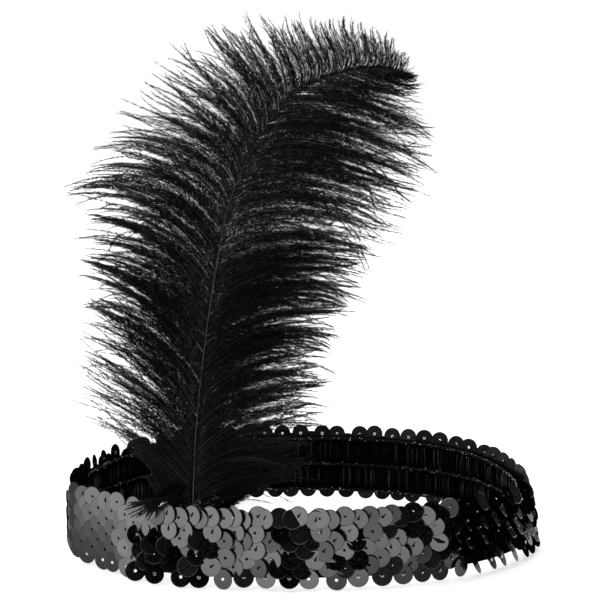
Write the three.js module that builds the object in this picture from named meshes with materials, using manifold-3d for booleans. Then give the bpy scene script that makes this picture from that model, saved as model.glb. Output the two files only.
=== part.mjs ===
// A flapper headband: a loop of knitted elastic, covered outside by overlapping sequins, with one
// ostrich plume standing against its inner face at the front.
// Millimetres. +Y is the back and +Z is up. The origin is the middle of the head opening, on the
// surface that the band stands on.
import * as THREE from 'three';
import { mergeVertices } from 'three/addons/utils/BufferGeometryUtils.js';
import Module from 'manifold-3d';

const wasm = await Module();
wasm.setup();

// Driving dimensions of the loop
const loopWidth = 187;          // over the sequins, side to side
const loopDepth = 155;          // over the sequins, front to back
const bandHeight = 31.5;        // over the scalloped edges, at the front
const knitMargin = 4.6;         // from each edge of the sequins to the edge of the knit
const knitWall = 2.6;           // elastic, from its outer face to the crest of a rib
const ribRelief = 1.1;          // height of a rib over the stitched grooves
const grooveWidth = 1.6;        // each of the three stitched grooves
const pieceGap = 0.3;           // between neighbouring pieces
const rightDrop = 2.4;          // how far the upper edge dips at the +X side
const rightLean = 5;            // how far the upper edge leans in at the +X side
const leftDrop = 2.2;           // how far the upper edge dips at the -X side
const sideSharpness = 6;        // how close to the two sides the band changes
const backRise = 2.3;           // how far the upper edge rises at the back
const bulge = 4.5;              // how far the band swells out beside the quill
const bulgeAngle = 236;         // middle of that swelling, degrees round the loop from +X
const bulgeSpread = 16;         // degrees from there to its flanks

// Driving dimensions of the sequins
const sequinPitch = 8.7;        // along the edge
const sequinLayer = 2.2;        // thickness of the field
const sequinRise = 1.3;         // how far the lip of a sequin stands over the next one
const scallopDepth = 2.4;       // of the edges and of each course
const courses = 5;              // rows of sequins that show as steps
const lipShape = [0, 1, 1];     // how far a lip comes down at each column across a sequin

// Driving dimensions of the plume
const plumeAngle = 243.8;       // place of the quill round the loop, degrees from +X
const quillFoot = 4.5;          // lower end of the quill over the surface
const quillRadius = 1.3;
const tipRadius = 0.4;
const shaftHeight = 182;        // crest of the shaft over its foot
const shaftReach = 75.5;        // tip of the shaft from its foot, along +X
const shaftSway = 11;           // how far the shaft leans back before its tip curls forward
const vaneClear = 2;            // lowest lock over the band
const leftBarb = 68;            // longest barb on the -X side
const rightBarb = 84;           // longest barb on the +X side
const vaneThickness = 10;       // of the closed inner part of the feather
const lockPitch = 6.6;          // between locks, along the shaft
const lockWidth = 10;
const lockThickness = 4.6;
const lockFan = [-32, 12, 34, -16, 24, -26];   // turn of the tip of a lock out of the vane, degrees

// The shaft, foot to tip. Shares of shaftReach, shaftSway and shaftHeight.
const shaftTable = [
  { reach: 0.000, sway: 0.00, height: 0.000 },
  { reach: 0.007, sway: 0.01, height: 0.152 },
  { reach: 0.026, sway: 0.22, height: 0.308 },
  { reach: 0.073, sway: 0.58, height: 0.486 },
  { reach: 0.123, sway: 0.85, height: 0.620 },
  { reach: 0.183, sway: 0.98, height: 0.738 },
  { reach: 0.322, sway: 0.92, height: 0.862 },
  { reach: 0.506, sway: 0.60, height: 0.953 },
  { reach: 0.720, sway: 0.41, height: 0.991 },
  { reach: 0.886, sway: 0.37, height: 0.999 },
  { reach: 1.000, sway: 0.40, height: 0.991 },
];

// The barbs along the shaft. at is a share of its length, left and right are shares of the longest
// barbs, and the angles are in degrees from the shaft where a barb leaves it and at its tip.
const barbTable = [
  { at: 0.10, left: 0.46, right: 0.41, launch: 52, leftEnd: 92, rightEnd: 96 },
  { at: 0.20, left: 0.66, right: 0.57, launch: 44, leftEnd: 108, rightEnd: 108 },
  { at: 0.32, left: 0.78, right: 0.67, launch: 38, leftEnd: 108, rightEnd: 110 },
  { at: 0.45, left: 0.88, right: 0.78, launch: 34, leftEnd: 104, rightEnd: 110 },
  { at: 0.58, left: 0.95, right: 0.91, launch: 32, leftEnd: 100, rightEnd: 108 },
  { at: 0.66, left: 0.79, right: 0.92, launch: 30, leftEnd: 94, rightEnd: 104 },
  { at: 0.74, left: 0.54, right: 0.77, launch: 32, leftEnd: 82, rightEnd: 100 },
  { at: 0.80, left: 0.41, right: 0.62, launch: 30, leftEnd: 70, rightEnd: 96 },
  { at: 0.87, left: 0.31, right: 0.43, launch: 30, leftEnd: 58, rightEnd: 88 },
  { at: 0.94, left: 0.22, right: 0.25, launch: 24, leftEnd: 50, rightEnd: 66 },
  { at: 1.00, left: 0.09, right: 0.09, launch: 12, leftEnd: 22, rightEnd: 26 },
];

// Half the vane, from the shaft out, at even steps along a barb. Shares of its thickness.
const vaneTable = [
  { thickness: 0.50 },
  { thickness: 0.90 },
  { thickness: 1.00 },
  { thickness: 0.55 },
];

// The outline of one lock, from inside the vane to its tip. Shares of its width and thickness.
const lockTable = [
  { width: 0.80, thickness: 0.90 },
  { width: 1.00, thickness: 1.00 },
  { width: 0.92, thickness: 0.80 },
  { width: 0.66, thickness: 0.50 },
  { width: 0.12, thickness: 0.15 },
];
const archBias = 0.8;           // under 1 a barb bends more near its root
const rootFan = 0.4;            // share of its fan that a barb has at its root
const shortLockWidth = 0.5;     // width of a lock of no length, as a share of a long one's
const vaneEnd = 0.985;          // share of the shaft's length that carries the vane and its locks

// Faces of the meshes
const knitColumnsPerSequin = 1;
const shaftSides = 8;
const shaftSteps = 26;
const vaneSteps = 18;
const barbSteps = 6;

const radians = THREE.MathUtils.degToRad;
const mixed = THREE.MathUtils.lerp;
const loopPerimeter = Math.PI * (loopWidth + loopDepth) / 2;
const sequinsRound = Math.round(loopPerimeter / sequinPitch);
const sequinColumns = sequinsRound * lipShape.length;
const knitColumns = sequinsRound * knitColumnsPerSequin;
const knitInset = sequinLayer + pieceGap;

// How near a place round the loop is to the middle of its +X side or of its -X side, from 0 to 1
function rightShare(angle) {
  return Math.max(0, Math.cos(angle)) ** sideSharpness;
}

function leftShare(angle) {
  return Math.max(0, -Math.cos(angle)) ** sideSharpness;
}

// The same for the middle of the back and for the swelling beside the quill
function backShare(angle) {
  return THREE.MathUtils.smoothstep(Math.sin(angle), 0.1, 0.9);
}

function bulgeShare(angle) {
  return Math.exp(-(((angle - radians(bulgeAngle)) / radians(bulgeSpread)) ** 2));
}

// A point of the band: inset is measured inwards from the outside of the sequins
function bandPoint(angle, inset, height) {
  const lean = rightLean * rightShare(angle) * (height / bandHeight);
  const swell = bulge * bulgeShare(angle);
  const x = (loopWidth / 2 - inset - lean + swell) * Math.cos(angle);
  const y = (loopDepth / 2 - inset + swell) * Math.sin(angle);
  return new THREE.Vector3(x, y, height);
}

function upperEdge(angle) {
  const drop = rightDrop * rightShare(angle) + leftDrop * leftShare(angle);
  return bandHeight - drop + backRise * backShare(angle);
}

function closedGeometry(points, faces) {
  const geometry = new THREE.BufferGeometry();
  const positions = new THREE.Float32BufferAttribute(points.flatMap((p) => [p.x, p.y, p.z]), 3);
  geometry.setAttribute('position', positions);
  geometry.setIndex(faces.flat());
  geometry.computeVertexNormals();
  return geometry;
}

// A solid ring: section(angle, column) gives one closed outline of [inset, height] pairs, which runs
// up the outside and down the inside
function ringSolid(columns, section) {
  const outlines = [];
  for (let column = 0; column < columns; column += 1) {
    const angle = 2 * Math.PI * column / columns;
    outlines.push(section(angle, column).map(([inset, height]) => bandPoint(angle, inset, height)));
  }
  const size = outlines[0].length;
  const faces = [];
  for (let column = 0; column < columns; column += 1) {
    const here = column * size;
    const next = ((column + 1) % columns) * size;
    for (let k = 0; k < size; k += 1) {
      const m = (k + 1) % size;
      faces.push([here + k, next + k, next + m], [here + k, next + m, here + m]);
    }
  }
  return closedGeometry(outlines.flat(), faces);
}

// Rings of points joined into one closed tube, capped at both ends
function loftedTube(rings) {
  const sides = rings[0].length;
  const faces = [];
  for (let r = 0; r + 1 < rings.length; r += 1) {
    const here = r * sides;
    const next = here + sides;
    for (let k = 0; k < sides; k += 1) {
      const m = (k + 1) % sides;
      faces.push([here + k, here + m, next + m], [here + k, next + m, next + k]);
    }
  }
  const last = (rings.length - 1) * sides;
  for (let k = 1; k + 1 < sides; k += 1) {
    faces.push([0, k + 1, k], [last, last + k, last + k + 1]);
  }
  return closedGeometry(rings.flat(), faces);
}

function toSolid(geometry) {
  const bare = geometry.clone();
  bare.deleteAttribute('normal');
  const merged = mergeVertices(bare);
  return new wasm.Manifold(new wasm.Mesh({
    numProp: 3,
    vertProperties: merged.attributes.position.array,
    triVerts: new Uint32Array(merged.index.array),
  }));
}

function toGeometry(solid) {
  const mesh = solid.getMesh();
  const geometry = new THREE.BufferGeometry();
  geometry.setAttribute('position', new THREE.BufferAttribute(mesh.vertProperties, 3));
  geometry.setIndex(new THREE.BufferAttribute(mesh.triVerts, 1));
  geometry.computeVertexNormals();
  return geometry;
}

// The knitted elastic: a flat outer face, and inside two ribs between three stitched grooves
function elasticBand() {
  const ribShoulder = 0.2;
  const crest = knitInset + knitWall;
  const groove = crest - ribRelief;
  return ringSolid(knitColumns, (angle) => {
    const low = knitMargin;
    const high = upperEdge(angle) - knitMargin;
    const ribHeight = (high - low - 3 * grooveWidth) / 2;
    const outline = [[knitInset, low], [knitInset, high], [groove, high]];
    for (let rib = 1; rib >= 0; rib -= 1) {
      const foot = low + grooveWidth + rib * (ribHeight + grooveWidth);
      outline.push([groove, foot + ribHeight]);
      outline.push([crest, foot + ribHeight * (1 - ribShoulder)]);
      outline.push([crest, foot + ribHeight * ribShoulder]);
      outline.push([groove, foot]);
    }
    outline.push([groove, low]);
    return outline;
  });
}

// How far a lip comes down at a column, with every second course moved along by one column
function lipFall(column, course) {
  return scallopDepth * lipShape[(column + course % 2) % lipShape.length];
}

// The field of sequins: stepped courses of lips outside, scalloped edges above and below
function sequinSleeve() {
  return ringSolid(sequinColumns, (angle, column) => {
    const high = upperEdge(angle);
    const step = (high - scallopDepth) / courses;
    const foot = scallopDepth - lipFall(column, 0);
    const rim = high - scallopDepth + lipFall(column, courses);
    const outline = [[sequinLayer, foot], [0, foot]];
    for (let course = 1; course < courses; course += 1) {
      const lip = scallopDepth + course * step - lipFall(column, course);
      outline.push([sequinRise, lip], [0, lip]);
    }
    outline.push([sequinRise, rim], [sequinLayer, rim]);
    return outline;
  });
}

// The quill stands clear of the ribs by pieceGap, square to the inner face
function quillPlace() {
  const angle = radians(plumeAngle);
  const nudge = radians(0.5);
  const inner = (turn) => bandPoint(angle + turn, knitInset + knitWall, quillFoot);
  const ahead = inner(nudge).sub(inner(-nudge)).normalize();
  const inward = new THREE.Vector3(-ahead.y, ahead.x, 0);
  return inner(0).addScaledVector(inward, quillRadius + pieceGap);
}

function shaftCurve() {
  const foot = quillPlace();
  const points = shaftTable.map((row) => new THREE.Vector3(
    foot.x + row.reach * shaftReach,
    foot.y + row.sway * shaftSway,
    foot.z + row.height * shaftHeight,
  ));
  return new THREE.CatmullRomCurve3(points, false, 'catmullrom', 0.5);
}

// The directions at a place on the shaft: along it, to its +X side, and out of the vane
function shaftFrame(curve, share) {
  const along = curve.getTangentAt(share);
  const side = new THREE.Vector3(0, 1, 0).cross(along).normalize();
  const out = new THREE.Vector3().crossVectors(along, side);
  return { at: curve.getPointAt(share), along, side, out };
}

function shaft(curve) {
  const rings = [];
  for (let step = 0; step <= shaftSteps; step += 1) {
    const share = step / shaftSteps;
    const { at, side, out } = shaftFrame(curve, share);
    const radius = mixed(quillRadius, tipRadius, share);
    const ring = [];
    for (let k = 0; k < shaftSides; k += 1) {
      const turn = 2 * Math.PI * (k + 0.5) / shaftSides;
      ring.push(at.clone()
        .addScaledVector(side, radius * Math.cos(turn))
        .addScaledVector(out, radius * Math.sin(turn)));
    }
    rings.push(ring);
  }
  return loftedTube(rings);
}

function barbRow(share) {
  const high = Math.max(1, barbTable.findIndex((row) => row.at >= share));
  const above = barbTable[high];
  const below = barbTable[high - 1];
  const mix = (share - below.at) / (above.at - below.at);
  const row = {};
  for (const column of Object.keys(below)) row[column] = mixed(below[column], above[column], mix);
  return row;
}

// The places along one barb, which leaves the shaft at the launch angle and arches out. sign is -1 on
// the -X side and 1 on the +X side; fan turns the barb out of the plane of the vane.
function barbLine(curve, share, sign, fan) {
  const row = barbRow(share);
  const { at, along, side, out } = shaftFrame(curve, share);
  const length = sign < 0 ? leftBarb * row.left : rightBarb * row.right;
  const endAngle = sign < 0 ? row.leftEnd : row.rightEnd;
  const middle = at.clone();
  const places = [];
  for (let step = 0; step <= barbSteps; step += 1) {
    const t = step / barbSteps;
    const bend = radians(mixed(row.launch, endAngle, t ** archBias));
    const turn = radians(fan * mixed(rootFan, 1, t));
    const across = side.clone().multiplyScalar(sign * Math.cos(turn));
    across.addScaledVector(out, Math.sin(turn));
    const forward = along.clone().multiplyScalar(Math.cos(bend)).addScaledVector(across, Math.sin(bend));
    const edge = along.clone().multiplyScalar(Math.sin(bend)).addScaledVector(across, -Math.cos(bend));
    const face = new THREE.Vector3().crossVectors(forward, edge).normalize();
    places.push({ middle: middle.clone(), edge, face, length });
    middle.addScaledVector(forward, length / barbSteps);
  }
  return places;
}

// The vane: the closed inner part of the feather, thickest between the shaft and its edges
function vane(curve, lowest) {
  const rings = [];
  for (let step = 0; step <= vaneSteps; step += 1) {
    const share = mixed(lowest, vaneEnd, step / vaneSteps);
    const { out } = shaftFrame(curve, share);
    const left = barbLine(curve, share, -1, 0);
    const right = barbLine(curve, share, 1, 0);
    const short = Math.min(1, mixed(shortLockWidth, 1, left[0].length / leftBarb));
    const front = [];
    const back = [];
    for (let column = 1 - vaneTable.length; column < vaneTable.length; column += 1) {
      const far = Math.abs(column);
      const middle = (column < 0 ? left : right)[far].middle;
      const deep = vaneThickness / 2 * vaneTable[far].thickness * short;
      front.push(middle.clone().addScaledVector(out, -deep));
      back.unshift(middle.clone().addScaledVector(out, deep));
    }
    rings.push([...front, ...back]);
  }
  return loftedTube(rings);
}

// One lock of barbs: a flat tapered strip that grows out of the vane
function lock(curve, share, sign, fan) {
  const places = barbLine(curve, share, sign, fan).slice(-lockTable.length);
  const rings = places.map(({ middle, edge, face, length }, step) => {
    const fullWidth = lockWidth * Math.min(1, mixed(shortLockWidth, 1, length / leftBarb));
    const wide = fullWidth / 2 * lockTable[step].width;
    const deep = lockThickness / 2 * lockTable[step].thickness;
    return [
      middle.clone().addScaledVector(edge, wide),
      middle.clone().addScaledVector(face, deep),
      middle.clone().addScaledVector(edge, -wide),
      middle.clone().addScaledVector(face, -deep),
    ];
  });
  return loftedTube(rings);
}

// The feather: its shaft and vane, with a lock on both sides at every lockPitch
function plume() {
  const curve = shaftCurve();
  const length = curve.getLength();
  const lowest = (bandHeight + vaneClear - quillFoot) / length;
  const count = Math.floor((vaneEnd - lowest) * length / lockPitch);
  let solid = toSolid(shaft(curve)).add(toSolid(vane(curve, lowest)));
  for (let k = 0; k <= count; k += 1) {
    const share = mixed(lowest, vaneEnd, k / count);
    const leftFan = lockFan[k % lockFan.length];
    const rightFan = lockFan[(k + 1) % lockFan.length];
    solid = solid.add(toSolid(lock(curve, share, -1, leftFan)));
    solid = solid.add(toSolid(lock(curve, share, 1, rightFan)));
  }
  return toGeometry(solid);
}

function piece(name, geometry, color, roughness, metalness) {
  const material = new THREE.MeshStandardMaterial({ color, roughness, metalness });
  const mesh = new THREE.Mesh(geometry, material);
  mesh.name = name;
  return mesh;
}

const headband = new THREE.Group();
headband.add(piece('elastic_band', elasticBand(), 0x0b0b0c, 0.9, 0));
headband.add(piece('sequin_sleeve', sequinSleeve(), 0x26262a, 0.25, 0.1));
headband.add(piece('plume', plume(), 0x0e0e10, 0.8, 0));

export default headband;
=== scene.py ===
"""The flapper headband's finish: sequins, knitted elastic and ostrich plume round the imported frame."""
import math

import bpy
import numpy as np
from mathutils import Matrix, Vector


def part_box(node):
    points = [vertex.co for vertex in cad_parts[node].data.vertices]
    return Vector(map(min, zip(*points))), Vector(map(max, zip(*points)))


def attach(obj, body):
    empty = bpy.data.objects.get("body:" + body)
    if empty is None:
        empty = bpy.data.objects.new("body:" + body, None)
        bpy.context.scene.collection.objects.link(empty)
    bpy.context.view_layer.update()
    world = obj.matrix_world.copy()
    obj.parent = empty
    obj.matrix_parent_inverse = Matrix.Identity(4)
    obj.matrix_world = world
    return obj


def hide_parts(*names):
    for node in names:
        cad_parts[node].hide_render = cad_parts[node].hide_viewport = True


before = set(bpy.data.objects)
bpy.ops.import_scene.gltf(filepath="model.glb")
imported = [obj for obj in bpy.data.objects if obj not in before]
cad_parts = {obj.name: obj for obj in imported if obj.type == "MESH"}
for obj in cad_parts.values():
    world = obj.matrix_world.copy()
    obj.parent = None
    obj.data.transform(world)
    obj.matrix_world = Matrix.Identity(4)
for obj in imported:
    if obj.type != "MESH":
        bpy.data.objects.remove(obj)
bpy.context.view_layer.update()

MM = 0.001
ACROSS, DEEP, UP = np.eye(3)
SEED = 1926
rng = np.random.default_rng(SEED)
# Points that measure the length of the loop
LOOP_POINTS = 2881

# The band's form, as the frame has it
KNIT_INSET = 2.5 * MM
KNIT_MARGIN = 4.6 * MM
KNIT_WALL = 2.6 * MM
RIB_RELIEF = 1.1 * MM
GROOVE_WIDTH = 1.6 * MM
PIECE_GAP = 0.3 * MM
STITCH_LINES = (0.035, 0.5, 0.965)
RIGHT_DROP = 2.4 * MM
RIGHT_LEAN = 5.0 * MM
LEFT_DROP = 2.2 * MM
SIDE_SHARPNESS = 6
BACK_RISE = 2.3 * MM
BACK_SPAN = (0.1, 0.9)
BULGE = 4.5 * MM
BULGE_ANGLE = 236.0
BULGE_SPREAD = 16.0

# Sizes that the frame gives
sleeve_low, sleeve_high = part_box("sequin_sleeve")
HALF_WIDTH = -sleeve_low.x
HALF_DEPTH = sleeve_high.y
BAND_HEIGHT = sleeve_high.z - BACK_RISE
KNIT_HEIGHT = BAND_HEIGHT - 2 * KNIT_MARGIN
GROOVE = GROOVE_WIDTH / KNIT_HEIGHT
RIB = (1 - 3 * GROOVE) / 2
# Insets of the knit's inner face, at the ribs and in the grooves
RIB_FACE = KNIT_INSET + KNIT_WALL
GROOVE_FACE = RIB_FACE - RIB_RELIEF

# The photograph's view
PICTURE_SIDE = 600
LENS = 98.04
SENSOR = 36
VIEW_DISTANCE = 0.663
VIEW_ELEVATION = 12.42
VIEW_PITCH = 5.45
VIEW_YAW = -0.10
VIEW_HEIGHT = 16.5 * MM

# Sequins
SEQUIN_PITCH = 8.1 * MM
SEQUIN_RADIUS = 3.75 * MM
SEQUIN_HOLE = 0.55 * MM
SEQUIN_ROWS = 8
TOP_ROW = SEQUIN_ROWS - 1
SEQUIN_SIDES = 26
SEQUIN_INSET = 1.0 * MM
SEQUIN_HANG = 1.5 * MM
SEQUIN_SPREAD = 0.015
FILM = 0.1 * MM
RIM_WIDTH = 0.28 * MM
RIM_DROP = 0.1 * MM
RIM_FILM = 1.2 * FILM
FLOOR_GAP = 0.05 * MM
# Strays along the band, in radians, and up or down
STRAY_ALONG = 0.010
STRAY_UP = 0.3 * MM
# Least and most share of the table's hang
HANG_RANGE = (0.7, 1)
# Where the front begins and ends, in degrees, and the lift of its rows, lowest first
FRONT_BEGIN = (225, 240)
FRONT_END = (296, 304)
ROW_LIFT = np.array([0, 0, 0, 0, 0, 0, 1.4, -0.7]) * MM
# At the left end the two highest rows are tucked in, in millimetres, and turned, in degrees with a spread
TUCK_ROW = TOP_ROW - 1
TUCK_SPAN = (170, 197)
TUCK = 2.6
TUCK_TURN = (46, 8)
# Spread of the look upwards, as a share of the turn's
LOOK_SPREAD = 0.6
# A leaning sequin stands out by a share of its radius, and a ruffled one strays
STAND_SHARE = 0.25
RUFFLE = 0.4 * MM
# Place round the loop, turn from the band's outward way towards the next sequin, and spread, in degrees
TURN_TABLE = np.array([
    [0, 12, 8], [30, 22, 8], [55, 10, 6], [70, 6, 5], [90, -2, 4], [138, 0, 4], [142, 6, 5],
    [150, 12, 6], [165, 12, 6], [180, 8, 4], [192, 6, 3], [198, 14, 2], [204, 34, 1.5],
    [216, 28, 1.5], [226, 12, 2.5], [236, -6, 3.5], [246, -13, 6], [262, -15, 6],
    [285, -15, 6], [296, -10, 7], [303, 10, 8], [345, 8, 8],
])
# Place, and how far a sequin looks up in the lowest rows and in the others
LOOK_TABLE = np.array([
    [0, 8, 8], [30, -8, -9], [90, -14, -14], [150, -8, -8], [190, 0, 0], [236, 2, 2], [262, 2, 2],
    [287, 1, 2], [293, 3, 8], [304, 6, 14], [314, 10, 20], [330, 14, 20], [345, 12, 14],
])
# Place, and how far a sequin of the lowest row hangs, as a share
HANG_TABLE = np.array([
    [0, 0.3], [200, 0.3], [222, 0.8], [245, 0.8], [248, 1], [252, 1], [255, 0.3], [264, 0.2],
    [271, 0.4], [273, 1], [277, 1], [280, 0.2], [300, 0.4], [330, 0.3],
])
# Place, and how far the sequins stand out there, in millimetres
END_TABLE = np.array([
    [0, 0.8], [30, 0], [170, 0], [190, 1.5], [212, 1.5], [222, 0], [325, 0], [340, 1.4],
])
# Ruffled patches that face the dark side: place, height share, and half of their sizes
DARK_PATCHES = np.array([
    [235.3, 0.47, 5.2, 0.16], [248.5, 0.52, 3, 0.1], [239.5, 0.12, 9.7, 0.25],
    [266.5, 0.82, 3.6, 0.24], [268, 0.46, 3.8, 0.26], [267.5, 0.12, 4.6, 0.2],
    [258, 0.04, 4, 0.1], [281, 0.2, 3.6, 0.1], [289, 0.1, 3.6, 0.12],
    [284, 0.53, 2.8, 0.09], [294, 0.8, 4.6, 0.24], [289.8, 0.66, 2.8, 0.12],
    [302, 0.64, 5.2, 0.44], [309, 0.97, 5, 0.12], [272.5, 0.52, 2, 0.08],
    [291.5, 0.33, 2.2, 0.09], [276.5, 0.3, 1.8, 0.07],
])
# Patches of duller film
DULL_PATCHES = np.array([
    [222, 0.1, 6, 0.2], [250, 0, 3, 0.07], [261.5, 0.18, 3, 0.1],
    [275, 0, 3, 0.07], [284, 0.06, 3, 0.1], [293, 0.13, 9, 0.17],
    [304, 0.15, 8, 0.24],
])
# Single sequins that shine among these: place and height share
SHINING = np.array([
    [251, 0.16], [257.5, 0.2], [275.5, 0.16], [282, 0.14], [266, 0.45], [298.5, 0.86],
    [298.8, 0.7], [293.8, 0.45], [293.8, 0.32], [300.3, 0.35],
])
# Where the sequins bristle at the right, in degrees
BRISTLES = (303, 352)
# Share of them that are slivers, and the draw past which low ones before a place are blunt
SLIVER_SHARE = 0.6
BLUNT_FROM = 0.65
BLUNT_BELOW = 0.3
BLUNT_END = 309
# Ways that the other kinds face, in degrees: aside from the line of sight, and up
WAYS = {
    "bristle": ((60, 76), (14, 32)),
    "sliver": ((75, 82), (24, 34)),
    "blunt": ((38, 58), (-4, 4)),
    "upper": ((45, 74), None),
    "dark": ((-5, 18), (11, 24)),
    "shining": ((-14, 2), (-2, 2)),
}
# Wear of the film
DARK_WEAR = 1.0
DULL_WEAR = 0.5
PLAIN_WEAR = 0.15
# Gloss of the film: what most sequins have, the most they lose, and other kinds' least and most
PLAIN_GLOSS = 0.5
GLOSS_LOSS = 0.2
DULL_GLOSS = (0.16, 0.26)
SLIVER_GLOSS = (0.15, 0.6)
DARK_GLOSS = 0.32
# Dark sequins past a place, in degrees, have a share of that gloss
FAINT_FROM = 292
FAINT_SHARE = 0.4
# The turned rim keeps only a share of the gloss on sequins with more than the least: a painted shade line
# round each sequin
PAINTED_SHADE_RIM_GLOSS = 0.15
RIM_LEAST = 0.12
# At the left end the gloss, from the lowest row to the highest, fades out along a slant
LEFT_SPAN = (190, 222)
LEFT_GLOSS = [0.10, 0.14, 0.21, 0.34, 0.46]
LEFT_FADE = (196, 206)
LEFT_SLANT = 6
LEFT_LEAST = 0.05
# Behind the left end the edge rows are matt, and beyond a place, in degrees, all rows
MATT_SPAN = (95, 197)
MATT_ALL = 172

# Threads
# Shares of the sequins with a knot: in most rows, and in the lowest past a place in degrees
KNOT_SHARE = 0.93
LOW_KNOT_SHARE = 0.8
LOW_KNOT_START = 233
# Heights over the film, and radii
KNOT = np.array([[-0.5, -0.05, 0.2, 0.3], [0.42, 0.5, 0.34, 0.08]]) * MM
# Shares with a stitch, at the back and added in front, and its way, in degrees with a spread
STITCH_SHARE = 0.08
FRONT_STITCH_SHARE = 0.42
STITCH_FRONT = (222, 236)
STITCH_WAY = (66, 16)
STITCH_REACH = np.array([-0.2, 0.3, 0.8, 1.3, 1.6]) * MM
STITCH_RISE = np.array([-0.2, 0.24, 0.24, 0.1, -0.3]) * MM
STITCH_RADII = np.array([0.22, 0.25, 0.22, 0.18, 0.1]) * MM
STITCH_SIDES = 4
# Place round the loop, and share of the sequins with a glint in the hole
GLINT_TABLE = np.array([
    [20, 0.3], [225, 0], [240, 0.1], [290, 0.16], [305, 0.4],
])
# At the back the glints show inside the loop: share of the sequins, and what the highest row adds
GLINT_BACK = (20, 160)
BACK_GLINTS = 0.15
TOP_GLINTS = 0.65
GLINT = np.array([[0.0, 0.2, 0.44, 0.52], [0.22, 0.32, 0.22, 0.03]]) * MM
GLINT_STRAY = 0.15 * MM
GLINT_RISE = 0.1 * MM
GLINT_LIFT = 0.12 * MM
# Glints on each line of stitches, with shares of that height and radius
LINE_GLINTS = 230
LINE_GLINT_STRAY = 0.5 * MM
LINE_GLINT_DEPTH = 0.3 * MM
LINE_GLINT_HEIGHT = 0.5
LINE_GLINT_RADII = (0.45, 0.8)

# Knitted elastic
KNIT_COLUMNS = 360
KNIT_STEPS = 27
RIB_ROUNDNESS = 0.55
PUCKERS = 97
PUCKER = 0.12 * MM
GROUND_DEPTH = 0.45 * MM
# Yarns of each rib, with their strays and slants in radians
FLOATS = 600
FLOAT_STRAY = 0.0016
FLOAT_BOW = 0.004
FLOAT_SLANT = 0.0035
# Reach past the rib, as a share of the knit's height
FLOAT_OVERLAP = 0.012
FLOAT_DEPTH = 0.42 * MM
FLOAT_PUFF = (0.62, 1.12)
FLOAT_RADIUS = (0.26, 0.5)
FLOAT_TAPER = 0.45
FLOAT_SIDES = 5
# Least gloss of a yarn, what chance may add, and the share of it from foot to head
YARN_GLOSS = (0.01, 0.6)
FLOAT_GLOSS = np.array([0.1, 0.15, 0.2, 0.4, 0.8, 1.3, 0.9, 0.2])
# Loops in each line of chain stitch, and half of their sizes
CHAIN_LOOPS = 300
CHAIN_STRAY = 0.06 * MM
CHAIN_DEPTH = 0.25 * MM
CHAIN_LENGTH = 0.98 * MM
CHAIN_WIDTH = 0.42 * MM
CHAIN_POINT = 0.35
CHAIN_LIFT = 0.22 * MM
CHAIN_YARN = 0.2 * MM
CHAIN_STEPS = 8
CHAIN_SIDES = 4

# Plume
PLUME_ANGLE = 243.8
QUILL_FOOT = 4.5 * MM
QUILL_RADIUS = 1.3 * MM
# Reach, sway and height of the shaft
SHAFT_SIZE = np.array([75.5, 11.0, 182.0]) * MM
KNOT_STEPS = 40
SHAFT_STEPS = 500
SHAFT_RING_EVERY = 12
SHAFT_SIDES = 8
BARBS = 640
BARB_STEPS = 15
BARB_SIDES = 3
ALONG = np.linspace(0, 1, BARB_STEPS)
# Where the first barb starts, and the others' places in their steps
FIRST_BARB = 0.05
ROOT_RANGE = (0.1, 0.9)
BARB_BEND = 0.36
# A barb's shift and fan come late: as this power of the way along it
LATE = 2.0
# Barbs in a lock, the stray of its bounds, where its barbs close up, and how far they do
LOCK_BARBS = 3.6
LOCK_STRAY = 1.2
LOCK_ONSET = (0.5, 0.75)
LOCK_PULL = 0.72
# Spreads for a whole lock and for a barb in it: shift, growth, direction of the tip and fan
SHIFT_SPREADS = (2.4, 1.8)
GROWTH_SPREADS = (0.06, 0.05)
FINISH_SPREADS = (6, 7)
FAN_SPREADS = (16.0, 6)
# Share of the barbs that stray from the locks, with their spreads and growth
STRAYS = 0.46
STRAY_SHIFT = 7.5
STRAY_FAN = 22
STRAY_GROWTH = (0.6, 1.0)
MOST_GROWTH = 1.1
LAUNCH_SPREAD = 2.5
FAN_LIMITS = (-28, 38)
# Up to this share of the shaft the barbs fan forward only
FORWARD_UNTIL = 0.14
# The lowest barbs at the left turn in over the band, less and less between two shares of the shaft
INWARD_TURN = 32
INWARD_SPAN = (0.09, 0.15)
# Waves of the barbs: size, where they may begin and how fast they turn, in radians
WAVE = 0.7 * MM
WAVE_STARTS = (0, 6)
WAVE_RATE = 3.5
# Every third barb lies in front beside the shaft and carries a painted sheen: a lighter grey colour, with
# more gloss
PAINTED_SHEEN_BARBS = np.arange(BARBS) % 3 == 0
PAINTED_SHEEN_RANGE = (0.25, 1)
PAINTED_SHEEN_BARB_THIN = 0.7
PLAIN_PAINTED_SHEEN = 0.5
FRONT_LIFT = 1.5 * MM
# Barbules
BARBULE_GAP = 0.25 * MM
BARBULE_LEAST = 6
# Where the first may stand on a barb, the share of it that they take, and how they crowd to its tip
BARBULE_START = 0.005
BARBULE_SPAN = 0.96
BARBULE_CROWDING = 0.95
BARBULE_ROLL = 0.6
BARBULE_SWEEP_SPREAD = 9
BARBULE_RANGE = (0.6, 1.25)
BARBULE_HALF_WIDTH = 0.08 * MM
BARBULE_DROOP = 14
# On shorter barbs than this they are shorter, down to a share
FULL_LENGTH = 45 * MM
SHORT_SHARE = 0.8
# Wisps: where they end and start round the loop, and the drop of their ends in millimetres
WISPS = 22
WISP_ENDS = [229.5, 231.0, 233.0, 236.5]
WISP_END_SPREAD = 0.5
WISP_DROP = (1, 7)
WISP_FIRST = (240.5, 243.2)
# Least way from start to end, and how far a wisp has gone at its middle marks, in degrees
WISP_WAY = 3.5
WISP_GONE = (1.5, 2.5)
WISP_DENSITY = 2.2
WISP_LENGTH = 12 * MM
WISP_RADII = (0.6, 0.2)
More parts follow.
